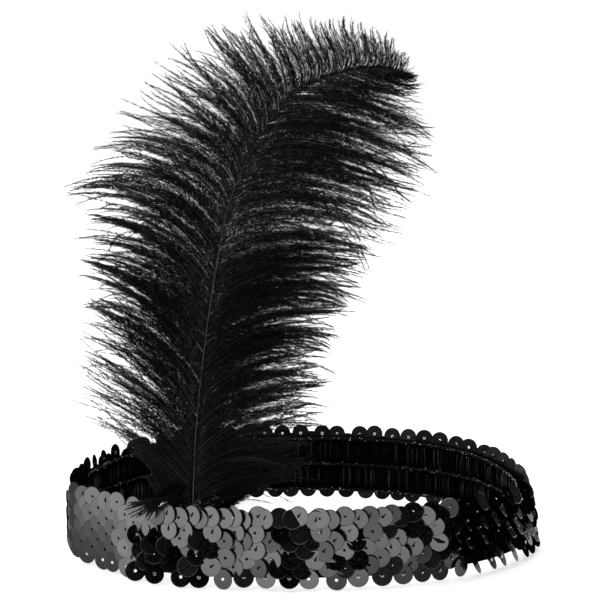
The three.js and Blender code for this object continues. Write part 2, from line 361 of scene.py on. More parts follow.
# Marks along a wisp, and its insets and heights over the edge there, in millimetres
WISP_MARKS = [0, 0.3, 0.45, 1]
WISP_INSETS = [6.5, 1.2, -1.4, -2.2]
WISP_HEIGHTS = [5.0, 2.6, 1.4]
WISP_INSET_SPREAD = 0.2 * MM
WISP_HEIGHT_SPREAD = 0.3 * MM
# Reach, sway and height along the shaft, as shares of its size
SHAFT_TABLE = np.array([
    [0, 0, 0], [0.007, 0.01, 0.152], [0.026, 0.22, 0.308], [0.073, 0.58, 0.486],
    [0.123, 0.85, 0.62], [0.183, 0.98, 0.738], [0.322, 0.92, 0.862], [0.506, 0.6, 0.953],
    [0.72, 0.41, 0.991], [0.886, 0.37, 0.999], [1, 0.4, 0.991],
])
# Share of the shaft, and density of the barbules at the left and right
DENSITY_TABLE = np.array([
    [0.09, 1, 1], [0.12, 0.6, 1], [0.2, 0.7, 1], [0.3, 1, 1.45], [0.46, 1, 1.4],
    [0.52, 0.9, 0.8], [0.61, 0.85, 0.8], [0.66, 0.95, 1], [0.72, 0.9, 0.9], [0.8, 0.7, 0.5],
    [0.95, 0.7, 0.5], [1, 0.5, 0.4],
])
# The ends of the barbs as they lie in the picture: share of the shaft at the root, place across and down,
# direction at the tip and angle between barb and shaft at the root
LEFT_TIPS = np.array([
    [0.05, 138, 488, 142, 42], [0.08, 112, 464, 150, 40], [0.1, 98, 446, 156, 40],
    [0.12, 92, 431, 160, 40], [0.14, 87, 410, 158, 36], [0.16, 84, 384, 154, 30],
    [0.19, 82, 362, 154, 30], [0.22, 79, 342, 155, 30], [0.26, 82, 320, 160, 32],
    [0.3, 84, 299, 166, 34], [0.34, 82, 280, 174, 34], [0.42, 83, 240, 182, 35],
    [0.455, 74, 215, 188, 36], [0.49, 73, 200, 194, 36], [0.53, 78, 182, 196, 36],
    [0.57, 94, 158, 188, 35], [0.6, 102, 138, 176, 34], [0.63, 116, 112, 165, 33],
    [0.655, 134, 90, 155, 32], [0.675, 148, 74, 148, 32], [0.7, 171, 55, 143, 32],
    [0.725, 191, 40, 138, 32], [0.75, 211, 28, 132, 32], [0.78, 237, 21, 124, 32],
    [0.81, 262, 19, 117, 32], [0.84, 285, 18, 110, 32], [0.87, 307, 15, 102, 32],
    [0.9, 331, 15, 95, 31], [0.93, 357, 19, 84, 30], [0.96, 383, 31, 68, 28],
    [0.98, 397, 43, 56, 26], [1, 411, 59, 44, 22],
])
RIGHT_TIPS = np.array([
    [0.05, 242, 501, 20, 46], [0.08, 278, 487, 17, 46], [0.1, 307, 476, 14, 46],
    [0.13, 318, 458, 8, 40], [0.16, 322, 436, 4, 37], [0.18, 323, 420, 0, 34],
    [0.2, 324, 406, -4, 32], [0.24, 328, 384, -6, 32], [0.28, 333, 360, -9, 32],
    [0.31, 341, 338, -12, 33], [0.37, 355, 312, -14, 35], [0.42, 362, 284, -14, 37],
    [0.46, 370, 267, -14, 38], [0.5, 382, 252, -15, 38], [0.54, 392, 239, -17, 38],
    [0.58, 400, 227, -20, 37], [0.62, 410, 212, -22, 36], [0.66, 422, 198, -23, 35],
    [0.7, 429, 183, -23, 34], [0.73, 431, 166, -22, 34], [0.76, 432, 151, -21, 34],
    [0.79, 432, 138, -19, 34], [0.82, 427, 124, -15, 34], [0.85, 421, 111, -11, 33],
    [0.88, 418, 99, -8, 31], [0.91, 417, 90, -6, 29], [0.94, 416, 84, -6, 28],
    [0.97, 415, 78, -6, 26], [1, 414, 73, -2, 20],
])
# Profiles: share of a length, and radius, painted sheen with gloss, painted highlight, degrees or millimetres
# there
SHAFT_RADII = np.array([[0, 0.36], [0.1, 0.26], [0.5, 0.24], [1, 0.12]])
SHAFT_PAINTED_HIGHLIGHT = np.array([[0, 1.0], [0.5, 0.75], [0.72, 0.1], [1, 0]])
BARB_RADII = np.array([[0, 0.22], [0.2, 0.19], [0.5, 0.13], [0.85, 0.1], [1, 0.05]])
BARB_PAINTED_SHEEN = np.array([[0, 0.4], [0.06, 0.85], [0.3, 0.8], [0.6, 0.5], [1, 0.2]])
BARB_LIFT = np.array([[0, 0], [0.06, 1], [0.3, 1], [0.45, 0]])
LOW_PAINTED_SHEEN = np.array([[0.07, 0], [0.1, 1], [0.18, 1], [0.24, 0]])
BARBULE_SWEEP = np.array([[0, 44], [0.5, 34], [1, 20]])
BARBULE_LENGTHS = np.array([[0, 1.5], [0.12, 3.2], [0.35, 4.0], [0.6, 3.1], [0.85, 1.7], [1, 0.4]])

# The side that the studio is dark on
DARK_SIDE = (0.887, -0.462, -0.3)


def table(rows, at, column, period=None):
    return np.interp(at, rows[:, 0], rows[:, column], period=period)


def smooth(low, high, value):
    t = np.clip((value - low) / (high - low), 0, 1)
    return t * t * (3 - 2 * t)


def between(value, span):
    """Marks the values inside a span."""
    return (value > span[0]) & (value < span[1])


def unit(vectors):
    vectors = np.asarray(vectors, float)
    return vectors / np.maximum(np.linalg.norm(vectors, axis=-1, keepdims=True), 1e-12)


# The band's geometry

def end_share(cosine):
    """1 at one end of the band, and 0 away from it."""
    return np.maximum(0, cosine) ** SIDE_SHARPNESS


def upper_edge(angle):
    along, back = np.cos(angle), np.sin(angle)
    drop = RIGHT_DROP * end_share(along) + LEFT_DROP * end_share(-along)
    return BAND_HEIGHT - drop + BACK_RISE * smooth(*BACK_SPAN, back)


def band_point(angle, inset, height):
    """A point of the band; inset is measured inwards from the outside of the sequins."""
    lean = RIGHT_LEAN * end_share(np.cos(angle)) * height / BAND_HEIGHT
    swell = BULGE * np.exp(-((angle - np.radians(BULGE_ANGLE)) / np.radians(BULGE_SPREAD)) ** 2)
    x = (HALF_WIDTH - inset - lean + swell) * np.cos(angle)
    y = (HALF_DEPTH - inset + swell) * np.sin(angle)
    return np.stack(np.broadcast_arrays(x, y, height), -1)


def band_axes(angle, inset=0.0):
    """Outward and onward directions at a place round the loop."""
    nudge = 0.005
    onward = unit(band_point(angle + nudge, inset, 0.0) - band_point(angle - nudge, inset, 0.0))
    return np.cross(onward, UP), onward


def knit_height(angle, share):
    """Height over the floor at a share of the knit's own height."""
    return KNIT_MARGIN + (upper_edge(angle) - 2 * KNIT_MARGIN) * share


def even_angles(count, inset=0.0, shift=0.0):
    """Angles that cut the loop into equal lengths."""
    fine = np.linspace(0, 2 * math.pi, LOOP_POINTS)
    line = band_point(fine, inset, 0 * fine)
    run = np.r_[0, np.cumsum(np.linalg.norm(np.diff(line, axis=0), axis=1))]
    return np.interp((np.arange(count) + shift) % count / count * run[-1], run, fine)


def circle(count):
    """Angles of evenly spaced points round a circle."""
    return 2 * math.pi * np.arange(count) / count


def camera_place():
    elevation = np.radians(VIEW_ELEVATION)
    height = VIEW_DISTANCE * math.sin(elevation) + VIEW_HEIGHT
    return np.array([0, -VIEW_DISTANCE * math.cos(elevation), height])


# Meshes

def tile_map(mesh, faces):
    """A UV map in which each pair of faces has a square of its own."""
    layer = mesh.uv_layers.new(name="OFBake")
    order = np.arange(faces)
    across = max(1, math.ceil(math.sqrt(math.ceil(faces / 2))))
    corner = np.stack([order // 2 % across, order // 2 // across], -1)
    half = np.array([[[0.04, 0.04], [0.92, 0.04], [0.04, 0.92]], [[0.96, 0.96], [0.08, 0.96], [0.96, 0.08]]])
    places = (corner[:, None, :] + half[order % 2]) / across
    layer.data.foreach_set("uv", places.reshape(-1).astype(np.float32))


def make_mesh(name, form, material, smooth_faces=True, tones=None, other=None):
    """A piece from the points and triangles of a form. tones has named values for each point, and
    other a second material with a mark for each face that has it."""
    points, faces = form
    mesh = bpy.data.meshes.new(name)
    mesh.from_pydata(points, [], faces)
    mesh.polygons.foreach_set("use_smooth", np.full(len(faces), smooth_faces))
    for key, values in (tones or {}).items():
        layer = mesh.attributes.new(key, "FLOAT", "POINT")
        layer.data.foreach_set("value", np.asarray(values, np.float32).reshape(-1))
    tile_map(mesh, len(faces))
    mesh.materials.append(material)
    if other is not None:
        mesh.materials.append(other[0])
        mesh.polygons.foreach_set("material_index", np.asarray(other[1], np.int32))
    piece = bpy.data.objects.new(name, mesh)
    bpy.context.scene.collection.objects.link(piece)
    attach(piece, "root")
    return piece


def repeated(faces, count, size):
    """Faces of one form for many copies of it that lie one after the other."""
    return (faces[None] + (np.arange(count) * size)[:, None, None]).reshape(-1, 3)


def ring_faces(rings, sides, closed=False):
    """Triangles that join rings of points into a tube, with flat ends or as a closed loop."""
    step = np.arange(rings if closed else rings - 1)[:, None]
    side = np.arange(sides)[None, :]
    here = step * sides
    onward = (step + 1) % rings * sides
    turn = (side + 1) % sides
    quads = np.stack(np.broadcast_arrays(here + side, here + turn, onward + turn, onward + side), -1)
    faces = np.concatenate([quads[..., [0, 1, 2]].reshape(-1, 3), quads[..., [0, 2, 3]].reshape(-1, 3)])
    if closed:
        return faces
    last = (rings - 1) * sides
    fan = np.arange(1, sides - 1)
    low = np.stack([0 * fan, fan + 1, fan], -1)
    high = np.stack([0 * fan + last, last + fan, last + fan + 1], -1)
    return np.concatenate([faces, low, high])


def tubes(lines, radius, sides, closed=False, guide=UP):
    """Tubes along many lines at once. lines is (count, steps, 3) and radius (count or 1, steps)."""
    count, steps, _ = lines.shape
    if closed:
        ahead = np.roll(lines, -1, 1) - np.roll(lines, 1, 1)
    else:
        ahead = np.gradient(lines, axis=1)
    ahead = unit(ahead)
    first = np.cross(ahead, np.broadcast_to(guide, ahead.shape))
    weak = np.linalg.norm(first, axis=-1, keepdims=True) < 0.05
    first = unit(np.where(weak, np.cross(ahead, ACROSS), first))
    second = np.cross(ahead, first)
    turn = circle(sides)
    offset = first[:, :, None] * np.cos(turn)[:, None] + second[:, :, None] * np.sin(turn)[:, None]
    points = lines[:, :, None] + offset * np.broadcast_to(radius, (count, steps))[:, :, None, None]
    return points.reshape(-1, 3), repeated(ring_faces(steps, sides, closed), count, steps * sides)


def joined(parts):
    """Points and faces of several parts as one."""
    points, faces, start = [], [], 0
    for part_points, part_faces in parts:
        points.append(part_points)
        faces.append(part_faces + start)
        start += len(part_points)
    return np.concatenate(points), np.concatenate(faces)


# Materials

def new_material(name, color, roughness, specular=0.5, **values):
    """A material, its node tree and the inputs of its shader."""
    material = bpy.data.materials.new(name)
    material.use_nodes = True
    inputs = material.node_tree.nodes["Principled BSDF"].inputs
    inputs["Base Color"].default_value = (*color, 1)
    inputs["Roughness"].default_value = roughness
    inputs["Specular IOR Level"].default_value = specular
    for key, value in values.items():
        inputs[key].default_value = value
    return material, material.node_tree, inputs


def add_node(tree, kind, **values):
    node = tree.nodes.new(kind)
    for key, value in values.items():
        if key in node.inputs:
            node.inputs[key].default_value = value
        else:
            setattr(node, key, value)
    return node


def noise(tree, scale, detail=3.0, stretch=None):
    """Noise on the piece's own coordinates; scale is in bumps for each metre."""
    texture = add_node(tree, "ShaderNodeTexNoise", Scale=scale, Detail=detail)
    source = add_node(tree, "ShaderNodeTexCoord").outputs["Object"]
    if stretch is not None:
        mapping = add_node(tree, "ShaderNodeMapping", Scale=stretch)
        tree.links.new(source, mapping.inputs["Vector"])
        source = mapping.outputs["Vector"]
    tree.links.new(source, texture.inputs["Vector"])
    return texture.outputs["Fac"]


def tone(tree, name):
    """One of the named values of the piece's points."""
    return add_node(tree, "ShaderNodeAttribute", attribute_name=name).outputs["Fac"]


def ramp(tree, source, stops, target):
    """Feeds an input through a colour ramp over the source, from a list of place and grey value or colour."""
    node = add_node(tree, "ShaderNodeValToRGB")
    while len(node.color_ramp.elements) < len(stops):
        node.color_ramp.elements.new(0.5)
    for element, (place, value) in zip(node.color_ramp.elements, stops):
        element.position = place
        element.color = (*value, 1) if hasattr(value, "__len__") else (value, value, value, 1)
    tree.links.new(source, node.inputs["Fac"])
    tree.links.new(node.outputs["Color"], target)


def combine(tree, operation, source, value=1.0):
    """A sum or product of the source and a value, as a node whose second input can be fed instead."""
    node = add_node(tree, "ShaderNodeMath", operation=operation)
    node.inputs[1].default_value = value
    tree.links.new(source, node.inputs[0])
    return node


def bump(tree, inputs, source, strength, distance):
    node = add_node(tree, "ShaderNodeBump", Strength=strength, Distance=distance)
    tree.links.new(source, node.inputs["Height"])
    tree.links.new(node.outputs["Normal"], inputs["Normal"])


def sequin_material():
    """Black film: each sequin has its own wear and gloss, with fine scuffs and pits; less gloss at the rim
    paints a shade line.
    """
    material, tree, inputs = new_material("sequin_film", (0.012, 0.012, 0.013), 0.2, IOR=2.25)
    worn = combine(tree, "MULTIPLY", tone(tree, "wear"))
    ramp(tree, noise(tree, 3300.0, 5.0), [(0.6, 0), (0.7, 1)], worn.inputs[1])
    black, grey = (0.0007, 0.0007, 0.0008), (0.1, 0.1, 0.102)
    ramp(tree, worn.outputs["Value"], [(0, black), (1, grey)], inputs["Base Color"])
    tree.links.new(tone(tree, "gloss"), inputs["Specular IOR Level"])
    ramp(tree, noise(tree, 2600.0, 5.0), [(0.35, 0.17), (0.72, 0.3)], inputs["Roughness"])
    bump(tree, inputs, noise(tree, 5200.0, 2.0), 0.12, 0.03 * MM)
    return material


def backing_material():
    """The plain back of the film, with less of the gloss, which only shows from inside the loop."""
    material, tree, inputs = new_material("sequin_backing", (0.006, 0.006, 0.0065), 0.32)
    weak = combine(tree, "MULTIPLY", tone(tree, "gloss"), 0.7)
    tree.links.new(weak.outputs["Value"], inputs["Specular IOR Level"])
    cloud = noise(tree, 1800.0, 4.0)
    ramp(tree, cloud, [(0.3, 0.003), (0.75, 0.010)], inputs["Base Color"])
    ramp(tree, cloud, [(0.3, 0.25), (0.7, 0.42)], inputs["Roughness"])
    bump(tree, inputs, cloud, 0.15, 0.03 * MM)
    return material


def thread_material():
    material, tree, inputs = new_material("black_thread", (0.003, 0.003, 0.0033), 0.3, 0.15)
    twist = noise(tree, 4000.0, 2.0, (1, 1, 3))
    ramp(tree, twist, [(0.3, 0.0005), (0.7, 0.003)], inputs["Base Color"])
    bump(tree, inputs, twist, 0.4, 0.05 * MM)
    return material


def glint_material():
    """The slick loops of thread in the holes, which catch the light as points."""
    material, tree, inputs = new_material("slick_thread", (0.85, 0.85, 0.85), 0.15, Metallic=1.0)
    twist = noise(tree, 5000.0, 2.0)
    ramp(tree, twist, [(0.3, 0.75), (0.7, 0.98)], inputs["Base Color"])
    bump(tree, inputs, twist, 0.2, 0.03 * MM)
    return material


def knit_material():
    material, tree, inputs = new_material("knit_ground", (0.001, 0.001, 0.001), 0.8, 0.0)
    loops = noise(tree, 1500.0, 4.0, (1, 1, 0.4))
    ramp(tree, loops, [(0.3, 0.0002), (0.75, 0.0012)], inputs["Base Color"])
    bump(tree, inputs, loops, 0.8, 0.3 * MM)
    return material


def yarn_material():
    """Puffy yarn, with a gloss of its own for each yarn and part of it."""
    material, tree, inputs = new_material("puffy_yarn", (0.004, 0.004, 0.0045), 0.3, 0.3)
    tree.links.new(tone(tree, "gloss"), inputs["Specular IOR Level"])
    strands = noise(tree, 3000.0, 3.0, (1, 1, 0.12))
    ramp(tree, strands, [(0.3, 0.0002), (0.75, 0.0015)], inputs["Base Color"])
    bump(tree, inputs, strands, 0.7, 0.12 * MM)
    return material


def feather_material():
    material, tree, inputs = new_material("black_ostrich", (0.004, 0.004, 0.0045), 0.5, 0.09)
    streaks = noise(tree, 700.0, 3.0)
    ramp(tree, streaks, [(0.3, 0.0005), (0.75, 0.004)], inputs["Base Color"])
    ramp(tree, streaks, [(0.3, 0.38), (0.7, 0.6)], inputs["Roughness"])
    return material


def barb_material():
    """The barbs' own stems: a painted sheen on some, lighter grey with more gloss, draws the herringbone
    beside the shaft.
    """
    material, tree, inputs = new_material("barb_stems", (0.01, 0.01, 0.011), 0.4)
    # Painted sheen: the value lightens the stems' colour towards grey, a painted highlight, and raises their
    # gloss
    painted_sheen_and_gloss_mix = combine(tree, "MULTIPLY", tone(tree, "painted_sheen_and_gloss"))
    ramp(tree, noise(tree, 900.0, 3.0), [(0.35, 0.4), (0.7, 1.0)], painted_sheen_and_gloss_mix.inputs[1])
    black, grey = (0.0008, 0.0008, 0.0009), (0.09, 0.09, 0.092)
    ramp(tree, painted_sheen_and_gloss_mix.outputs["Value"], [(0, black), (1, grey)], inputs["Base Color"])
    ramp(tree, painted_sheen_and_gloss_mix.outputs["Value"], [(0, 0.03), (1, 0.3)], inputs["Specular IOR Level"])
    return material


def quill_material():
    """Streaky black horn with a painted highlight down the shaft: pale grey at the foot, fading to black
    towards the tip.
    """
    material, tree, inputs = new_material("quill_horn", (0.06, 0.064, 0.062), 0.35)
    streaks = noise(tree, 900.0, 3.0, (1, 1, 0.1))
    # Painted highlight: the pale tone lightens the horn's colour along the shaft, most at the foot
    painted_highlight_streaks = combine(tree, "MULTIPLY", tone(tree, "pale"))
    ramp(tree, streaks, [(0.3, 0.07), (0.7, 0.13)], painted_highlight_streaks.inputs[1])
    dark, light = (0.006, 0.006, 0.006), (0.95, 1.0, 0.98)
    ramp(tree, painted_highlight_streaks.outputs["Value"], [(0, dark), (1, light)], inputs["Base Color"])
    bump(tree, inputs, streaks, 0.3, 0.1 * MM)
    return material


# Sequins

def sequin_form():
    """Points of one disc of film with its hole and its turned rim, its faces, and which are at its back."""
    outline = np.array([
        [SEQUIN_HOLE, 0],
        [SEQUIN_RADIUS - RIM_WIDTH, 0],
        [SEQUIN_RADIUS, -RIM_DROP],
        [SEQUIN_RADIUS - RIM_WIDTH, -RIM_FILM],
        [SEQUIN_HOLE, -FILM],
    ])
    turn = circle(SEQUIN_SIDES)
    around = np.stack([np.cos(turn), np.sin(turn)], -1)
    points = np.concatenate([
        around[:, None, :] * outline[None, :, :1],
        np.broadcast_to(outline[None, :, 1:], (SEQUIN_SIDES, len(outline), 1)),
    ], -1)
    faces = ring_faces(SEQUIN_SIDES, len(outline), closed=True)
    strip = np.arange(len(faces)) % len(outline)
    return points.reshape(-1, 3), faces, (strip == 2) | (strip == 3)


def in_patches(patches, degrees, share):
    away = (degrees[:, None] - patches[:, 0]) / patches[:, 2]
    above = (share[:, None] - patches[:, 1]) / patches[:, 3]
    return (away ** 2 + above ** 2 < 1).any(1)


def nearest(marks, degrees, share):
    """Marks the one sequin that lies nearest to each place."""
    away = np.radians(degrees[:, None] - marks[:, 0]) * HALF_DEPTH
    above = (share[:, None] - marks[:, 1]) * (BAND_HEIGHT - 2 * SEQUIN_RADIUS)
    found = np.zeros(len(degrees), bool)
    found[np.hypot(away, above).argmin(0)] = True
    return found


def sequin_layout():
    """Row, angle round the loop and height of each sequin's centre."""
    count = round(math.pi * (HALF_WIDTH + HALF_DEPTH) / SEQUIN_PITCH)
    row = np.repeat(np.arange(SEQUIN_ROWS), count)
    angle = np.concatenate([even_angles(count, shift=k % 2 / 2) for k in range(SEQUIN_ROWS)])
    angle = angle + rng.normal(0, STRAY_ALONG, len(row))
    degrees = np.degrees(angle) % 360
    low = SEQUIN_HANG + SEQUIN_RADIUS
    high = upper_edge(angle) - SEQUIN_RADIUS
    height = low + (high - low) * (row / TOP_ROW) + rng.normal(0, STRAY_UP, len(row))
    hang = SEQUIN_HANG * table(HANG_TABLE, degrees, 1, 360) * rng.uniform(*HANG_RANGE, len(row))
    height = np.where(row == 0, low - hang, height)
    front = smooth(*FRONT_BEGIN, degrees) * (1 - smooth(*FRONT_END, degrees))
    return row, angle, height + front * ROW_LIFT[row]


def sequin_kinds(row, share, degrees):
    """Which sequins are of each kind; a later kind covers an earlier one."""
    bristle = between(degrees, BRISTLES)
    draw = rng.random(len(row))
    low_down = (share < BLUNT_BELOW) & (degrees < BLUNT_END)
    shining = nearest(SHINING, degrees, share)
    dark = in_patches(DARK_PATCHES, degrees, share) & ~shining
    return {
        "bristle": bristle,
        "sliver": bristle & (draw < SLIVER_SHARE),
        "blunt": bristle & (draw > BLUNT_FROM) & low_down,
        "upper": bristle & (row == TOP_ROW),
        "dark": dark,
        "shining": shining,
        "dull": in_patches(DULL_PATCHES, degrees, share) & ~dark & ~shining,
    }


def sequin_gloss(kinds, row, share, degrees):
    """How strongly each sequin mirrors."""
    total = len(row)
    blunt = kinds["blunt"]
    gloss = PLAIN_GLOSS - GLOSS_LOSS * rng.random(total) ** 2
    gloss = np.where(kinds["dull"] | blunt, rng.uniform(*DULL_GLOSS, total), gloss)
    faint = np.where(degrees > FAINT_FROM, FAINT_SHARE, 1)
    gloss = np.where(kinds["dark"], DARK_GLOSS * rng.random(total) ** 2 * faint, gloss)
    gloss = np.where(kinds["bristle"] & ~blunt, 0, gloss)
    gloss = np.where(kinds["sliver"], rng.uniform(*SLIVER_GLOSS, total), gloss)
    at_left = np.interp(share, np.linspace(0, 1, len(LEFT_GLOSS)), LEFT_GLOSS)
    start, full = (mark + LEFT_SLANT * share for mark in LEFT_FADE)
    at_left = np.maximum(at_left * smooth(start, full, degrees), LEFT_LEAST)
    gloss = np.where(between(degrees, LEFT_SPAN), at_left, gloss)
    matt = (row >= TUCK_ROW) | (row == 0) | (degrees > MATT_ALL)
    return np.where(between(degrees, MATT_SPAN) & matt, 0, gloss)


def sequin_places():
    """Where each sequin sits: its centre, three axes, row, place round the loop, wear and gloss."""
    row, angle, height = sequin_layout()
    total = len(row)
    share = row / TOP_ROW
    degrees = np.degrees(angle) % 360
    outward, _ = band_axes(angle)
    tucked = (row >= TUCK_ROW) & between(degrees, TUCK_SPAN)
    stand_out = np.where(tucked, -TUCK, table(END_TABLE, degrees, 1, 360)) * MM
    centre = band_point(angle, SEQUIN_INSET - stand_out, height)

    # Most lie along the band, turned and tipped as the tables say
    spread = table(TURN_TABLE, degrees, 2, 360)
    turn = table(TURN_TABLE, degrees, 1, 360) + rng.normal(0, 1, total) * spread
    look = np.where(row < 2, table(LOOK_TABLE, degrees, 1, 360), table(LOOK_TABLE, degrees, 2, 360))
    look = look + rng.normal(0, LOOK_SPREAD, total) * spread
    turn = np.where(tucked, rng.normal(*TUCK_TURN, total), turn)
    heading = np.arctan2(outward[:, 1], outward[:, 0]) + np.radians(turn)

    # The other kinds face ways of their own
    kinds = sequin_kinds(row, share, degrees)
    to_view = np.arctan2(camera_place()[1] - centre[:, 1], -centre[:, 0])
    for kind, (aside, up) in WAYS.items():
        heading = np.where(kinds[kind], to_view + np.radians(rng.uniform(*aside, total)), heading)
        if up:
            look = np.where(kinds[kind], rng.uniform(*up, total), look)

    look = np.radians(look)[:, None]
    level = np.stack([np.cos(heading), np.sin(heading), 0 * heading], -1)
    normal = np.cos(look) * level + np.sin(look) * UP
    first = np.cross(UP, level)
    second = np.cross(normal, first)
    lean = np.arccos(np.clip((normal * outward).sum(-1), -1, 1))
    stand = STAND_SHARE * SEQUIN_RADIUS * np.sin(lean)
    stand = stand + np.where(kinds["dark"], rng.normal(0, RUFFLE, total), 0)
    centre = centre + outward * stand[:, None]

    worn = np.where(kinds["dull"] | kinds["bristle"], DULL_WEAR, PLAIN_WEAR)
    wear = rng.random(total) * np.where(kinds["dark"], DARK_WEAR, worn)
    gloss = sequin_gloss(kinds, row, share, degrees)
    return centre, first, second, normal, row, degrees, wear, gloss


def sequins(places, film, backing):
    form, faces, back = sequin_form()
    centre, first, second, normal, _, _, wear, gloss = places
    size = rng.normal(1, SEQUIN_SPREAD, len(centre))[:, None, None]
    local = form[None] * size
    points = (centre[:, None] + local[..., :1] * first[:, None]
              + local[..., 1:2] * second[:, None] + local[..., 2:] * normal[:, None])
    points[..., 2] += np.maximum(0, FLOOR_GAP - points[..., 2].min(1))[:, None]
    faces = repeated(faces, len(centre), len(form))
    # Painted shade: the rim mirrors less, drawing a dark outline round each sequin
    at_rim = np.isclose(np.hypot(form[:, 0], form[:, 1]), SEQUIN_RADIUS)
    painted_shade_rim_share = np.where(at_rim & (gloss[:, None] > RIM_LEAST), PAINTED_SHADE_RIM_GLOSS, 1.0)
    tones = {"wear": np.repeat(wear, len(form)), "gloss": gloss[:, None] * painted_shade_rim_share}
    back = np.tile(back, len(centre))
    form = points.reshape(-1, 3), faces
    return make_mesh("sequins", form, film, False, tones, (backing, back))


def beads(centre, first, second, normal, heights, radii, sides=6):
    """Small rounded knots on many sequins at once."""
    turn = circle(sides)[:, None]
    around = first[:, None] * np.cos(turn) + second[:, None] * np.sin(turn)
    points = (centre[:, None, None] + around[:, None] * radii[:, None, None]
              + normal[:, None, None] * heights[:, None, None])
    faces = repeated(ring_faces(len(radii), sides), len(centre), len(radii) * sides)
    return points.reshape(-1, 3), faces


def sequin_threads(places, thread):
    """A knot in each hole, and on some sequins the stitch that runs out over the film."""
    row, degrees = places[4:6]
    lowest = LOW_KNOT_SHARE * (degrees > LOW_KNOT_START)
    held = rng.random(len(row)) < np.where(row == 0, lowest, KNOT_SHARE)
    centre, first, second, normal = (axis[held] for axis in places[:4])
    knots = beads(centre, first, second, normal, *KNOT)
    stitched = STITCH_SHARE + FRONT_STITCH_SHARE * smooth(*STITCH_FRONT, degrees[held])
    own = rng.random(len(centre)) < stitched
    way = np.radians(rng.normal(*STITCH_WAY, own.sum()))[:, None]
    out = first[own] * np.cos(way) + second[own] * np.sin(way)
    normal = normal[own][:, None]
    lines = centre[own][:, None] + out[:, None] * STITCH_REACH[:, None] + normal * STITCH_RISE[:, None]
    stitches = tubes(lines, STITCH_RADII, STITCH_SIDES, guide=normal)
    return make_mesh("sequin_threads", joined([knots, stitches]), thread)


def hole_glints(places):
    """Glints in some of the sequins' holes, at the back on the side that shows inside the loop."""
    row, degrees = places[4:6]
    at_back = between(degrees, GLINT_BACK)
    share = table(GLINT_TABLE, degrees, 1)
    share = np.where(at_back, BACK_GLINTS + TOP_GLINTS * (row == TOP_ROW), share)
    own = rng.random(len(row)) < share
    centre, first, second, normal = (axis[own] for axis in places[:4])
    side = np.where(at_back[own], -1.0, 1.0)[:, None]
    shift = first * rng.normal(0, GLINT_STRAY, own.sum())[:, None]
    shift = shift + second * rng.normal(GLINT_RISE, GLINT_STRAY, own.sum())[:, None]
    place = centre + shift + normal * side * GLINT_LIFT
    return beads(place, first, second * side, normal * side, *GLINT)


def stitch_glints(line):
    """Smaller glints along one line of the knit's stitches."""
    angle = rng.uniform(0, 2 * math.pi, LINE_GLINTS)
    height = knit_height(angle, line) + rng.normal(0, LINE_GLINT_STRAY, LINE_GLINTS)
    outward, onward = band_axes(angle)
    centre = band_point(angle, GROOVE_FACE + LINE_GLINT_DEPTH, height)
    up = np.broadcast_to(UP, centre.shape)
    heights, radii = GLINT
    radii = radii * rng.uniform(*LINE_GLINT_RADII)
    return beads(centre, onward, up, -outward, heights * LINE_GLINT_HEIGHT, radii)


def thread_glints(places, slick):
    """Slick loops of thread that catch the light."""
    parts = [hole_glints(places)]
    parts.extend(stitch_glints(line) for line in STITCH_LINES)
    return make_mesh("thread_glints", joined(parts), slick)


# Knitted elastic

def rib_height(share):
    """How far the two ribs stand over the grooves, at a share of the knit's height."""
    place = (np.asarray(share) - GROOVE) % (RIB + GROOVE) / RIB
    inside = (place < 1) & between(share, (GROOVE, 1 - GROOVE))
    return np.where(inside, np.sin(math.pi * np.clip(place, 0, 1)) ** RIB_ROUNDNESS, 0)


def knit_ground(material):
    angle = circle(KNIT_COLUMNS)[:, None]
    share = np.linspace(1, 0, KNIT_STEPS)
    rib = rib_height(share)
    pucker = PUCKER * np.sin(angle * PUCKERS) * rib
    inner = GROOVE_FACE + (RIB_RELIEF - GROUND_DEPTH) * rib + pucker
    inside = band_point(angle, inner, knit_height(angle, share))
    outside = band_point(angle, KNIT_INSET, knit_height(angle, np.array([0, 1])))
    points = np.concatenate([inside, outside], 1)
    faces = ring_faces(KNIT_COLUMNS, points.shape[1], closed=True)[:, ::-1]
    return make_mesh("knit_ground", (points.reshape(-1, 3), faces), material)


def knit_floats(material):
    """Loose vertical yarns that puff out into the two ribs."""
    lines, radius = [], []
    along = np.linspace(0, 1, len(FLOAT_GLOSS))
    bow = np.sin(math.pi * along)
    for foot in (GROOVE, 2 * GROOVE + RIB):
        angle = even_angles(FLOATS, RIB_FACE) + rng.normal(0, FLOAT_STRAY, FLOATS)
        slant = rng.normal(0, FLOAT_BOW, FLOATS)[:, None] * bow
        slant = slant + rng.normal(0, FLOAT_SLANT, FLOATS)[:, None] * (along - 0.5)
        place = angle[:, None] + slant
        share = foot - FLOAT_OVERLAP + (RIB + 2 * FLOAT_OVERLAP) * along
        puff = RIB_RELIEF * rng.uniform(*FLOAT_PUFF, FLOATS)[:, None] * bow ** 0.5
        lines.append(band_point(place, GROOVE_FACE - FLOAT_DEPTH + puff, knit_height(place, share)))
        thick = rng.uniform(*FLOAT_RADIUS, FLOATS)[:, None] * MM
        radius.append(thick * (1 - FLOAT_TAPER + FLOAT_TAPER * bow))
    lines = np.concatenate(lines)
    yarns = tubes(lines, np.concatenate(radius), FLOAT_SIDES, guide=unit(lines * [-1, -1, 0]))
    gloss = YARN_GLOSS[0] + YARN_GLOSS[1] * rng.random(len(lines)) ** 3
    gloss = np.repeat(gloss[:, None] * FLOAT_GLOSS, FLOAT_SIDES, axis=1)
    return make_mesh("knit_floats", yarns, material, tones={"gloss": gloss})


